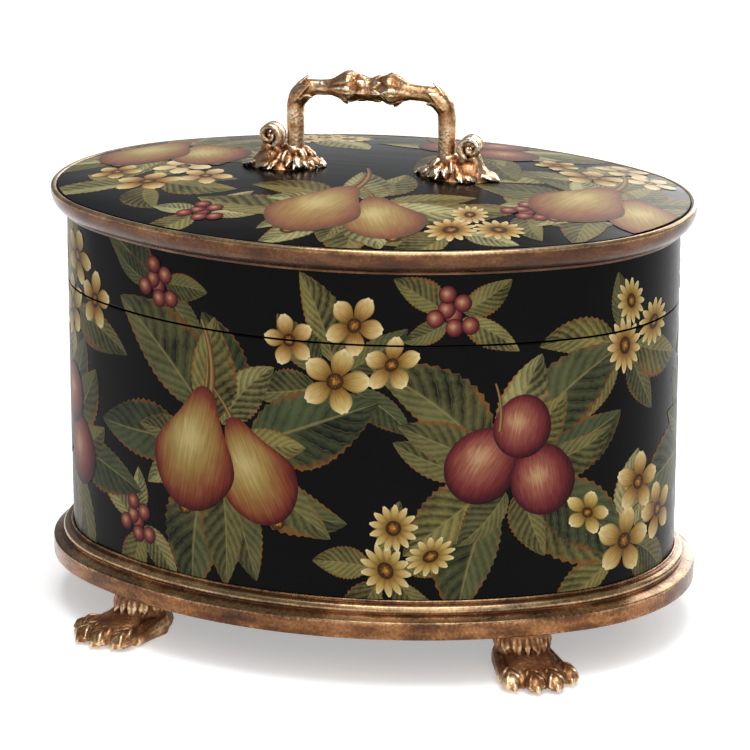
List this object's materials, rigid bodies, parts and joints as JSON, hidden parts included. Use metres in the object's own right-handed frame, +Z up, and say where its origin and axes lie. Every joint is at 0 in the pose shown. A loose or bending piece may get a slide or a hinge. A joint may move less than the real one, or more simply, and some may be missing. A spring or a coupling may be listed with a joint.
{
  "type": "lidded box",
  "caption": "Oval lidded box with a deep hinged lid, domed top, gilded rim and base mouldings, cast paw feet and a fixed carrying handle.",
  "frame": {"origin": "on the floor, below the middle of the box", "axes": "+X along the long axis, +Y to the back where the hinges are, +Z up"},
  "size_m": [0.352, 0.252, 0.2941],
  "materials": {
    "lacquer": "black gloss lacquer with a painted fruit and flower design",
    "gilt": "rubbed gilding over red bole",
    "inside": "satin dark brown stain",
    "cast_brass": "antiqued cast brass, bright on the high places",
    "hinge_brass": "rolled brass",
    "steel": "plain zinc-plated steel"
  },
  "bodies": {
    "box": {"base_moulding": "gilt", "bottom_panel": "inside", "body_wall": "lacquer", "locating_lip": "inside", "paw_foot_front_left": "cast_brass", "paw_foot_front_right": "cast_brass", "paw_foot_rear_left": "cast_brass", "paw_foot_rear_right": "cast_brass", "foot_screws": "steel", "hinge_leaf_lower_left": "hinge_brass", "hinge_leaf_lower_right": "hinge_brass", "hinge_pin_left": "steel", "hinge_pin_right": "steel", "lower_hinge_screws": "hinge_brass"},
    "lid": {"lid_skirt": "lacquer", "rim_moulding": "gilt", "lid_top_panel": "lacquer", "hinge_leaf_upper_left": "hinge_brass", "hinge_leaf_upper_right": "hinge_brass", "upper_hinge_screws": "hinge_brass", "handle_bar": "cast_brass", "handle_rosette_left": "cast_brass", "handle_rosette_right": "cast_brass", "handle_screws": "steel", "handle_washers": "steel"}
  },
  "joints": [
    {"name": "lid_hinge", "type": "hinge", "parent": "box", "child": "lid", "pos_m": [0, 0.1185, 0.17995], "axis": [-1, 0, 0], "range_deg": [0, 100]}
  ]
}
